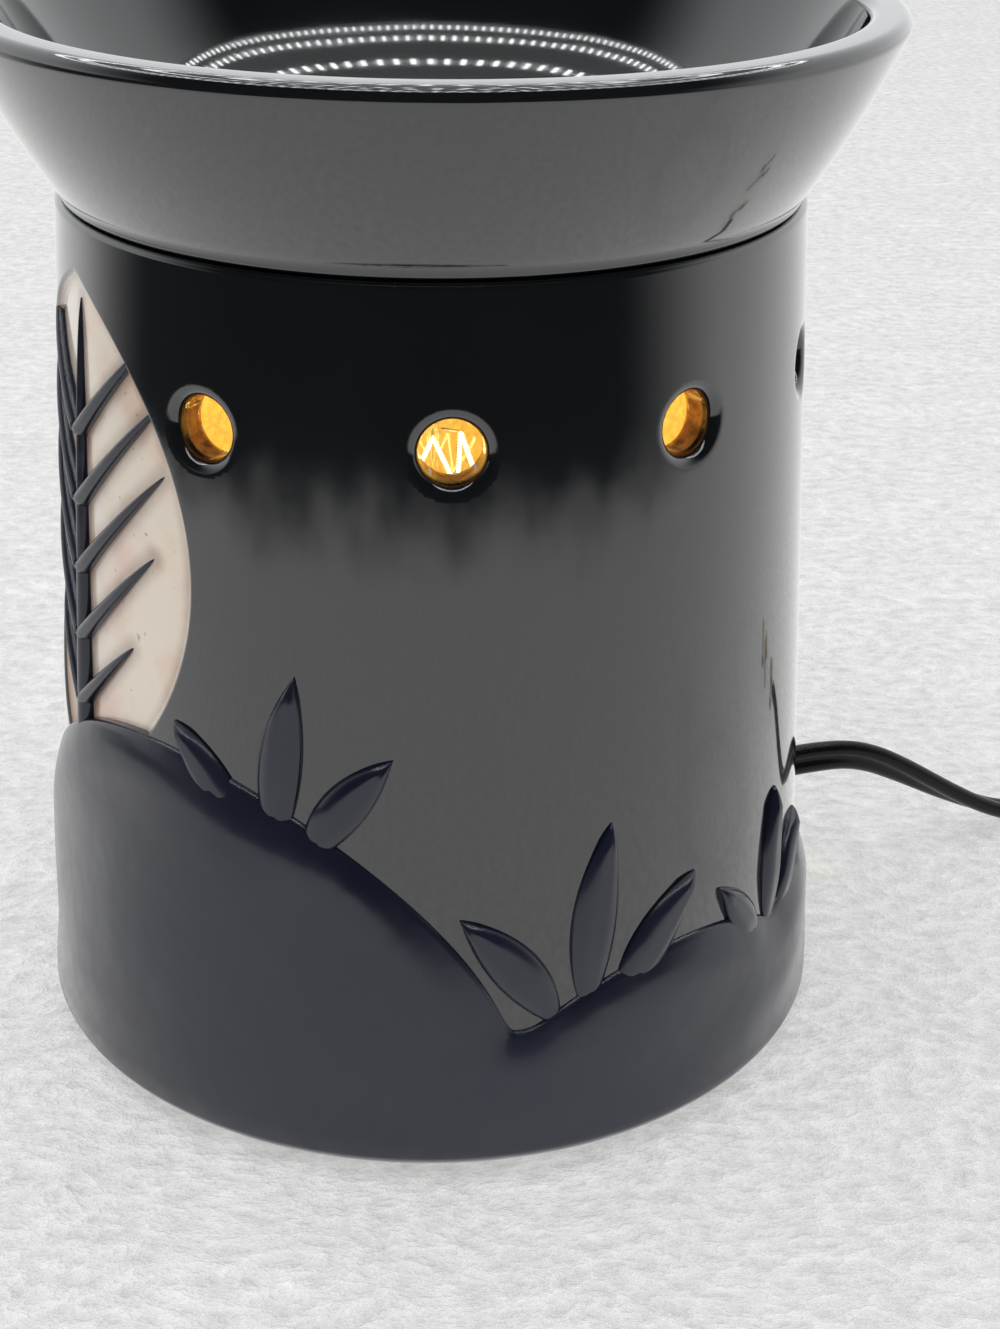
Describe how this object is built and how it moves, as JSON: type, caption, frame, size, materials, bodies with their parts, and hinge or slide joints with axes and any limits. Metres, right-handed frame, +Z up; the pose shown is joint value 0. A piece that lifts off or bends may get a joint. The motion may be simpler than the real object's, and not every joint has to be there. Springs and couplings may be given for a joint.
{
  "type": "electric wax warmer",
  "caption": "Glazed ceramic electric wax warmer: a hollow vented body lit by a screw-in bulb, a lift-off melting dish on top and a mains cord with a thumbwheel switch and plug.",
  "frame": {"origin": "centre of the body's foot, on the table", "axes": "+Z up, -Y towards the viewer, +X to the viewer's right, where the cord leaves"},
  "size_m": [0.2808, 0.1385, 0.1465],
  "materials": {
    "black_glaze": "high gloss",
    "soft_rubber": "matte",
    "plated_steel": "satin",
    "white_porcelain": "gloss",
    "brass": "satin",
    "clear_glass": "clear",
    "black_insulator": "gloss",
    "solder": "satin",
    "nickel_wire": "satin",
    "tungsten": "glowing",
    "cord_vinyl": "satin",
    "switch_plastic": "satin",
    "plug_plastic": "satin"
  },
  "bodies": {
    "base": {"body_shell": "black_glaze", "foot_pads": "soft_rubber", "stem_nipple": "plated_steel", "stem_nuts": "plated_steel", "stem_washer": "plated_steel", "stem_gasket": "soft_rubber", "socket_cup": "plated_steel", "socket_body": "white_porcelain", "socket_shell": "brass", "socket_contact": "brass", "socket_terminals": "brass", "terminal_screws": "plated_steel", "cord_grommet": "soft_rubber", "socket_leads": "cord_vinyl", "cord_lead": "cord_vinyl", "cord_middle": "cord_vinyl", "cord_coil": "cord_vinyl", "coil_tie": "cord_vinyl", "switch_lower": "switch_plastic", "switch_upper": "switch_plastic", "switch_axle": "plated_steel", "switch_screws": "plated_steel", "switch_contacts": "brass", "plug_body": "plug_plastic", "plug_blades": "brass"},
    "dish": {"wax_dish": "black_glaze"},
    "bulb_carriage": {"bulb_tip": "solder"},
    "bulb": {"bulb_glass": "clear_glass", "bulb_cap": "brass", "bulb_insulator": "black_insulator", "bulb_stem": "clear_glass", "lead_in_wires": "nickel_wire", "filament": "tungsten", "filament_supports": "nickel_wire"},
    "wheel": {"switch_wheel": "switch_plastic"}
  },
  "joints": [
    {"name": "dish_lift", "type": "slide", "parent": "base", "child": "dish", "axis": [0, 0, 1], "range_m": [0, 0.06]},
    {"name": "bulb_rise", "type": "slide", "parent": "base", "child": "bulb_carriage", "axis": [0, 0, 1], "range_m": [0, 0.009]},
    {"name": "bulb_turn", "type": "hinge", "parent": "bulb_carriage", "child": "bulb", "pos_m": [0, 0, 0.044], "axis": [0, 0, 1], "range_deg": [0, 1260]},
    {"name": "switch_turn", "type": "hinge", "parent": "base", "child": "wheel", "pos_m": [0.161, 0.0455, 0.006], "axis": [0, 0, 1], "continuous": true}
  ],
  "couplings": [
    {"joint": "bulb_rise", "follows": "bulb_turn", "m_per_rad": 0.00040425}
  ]
}
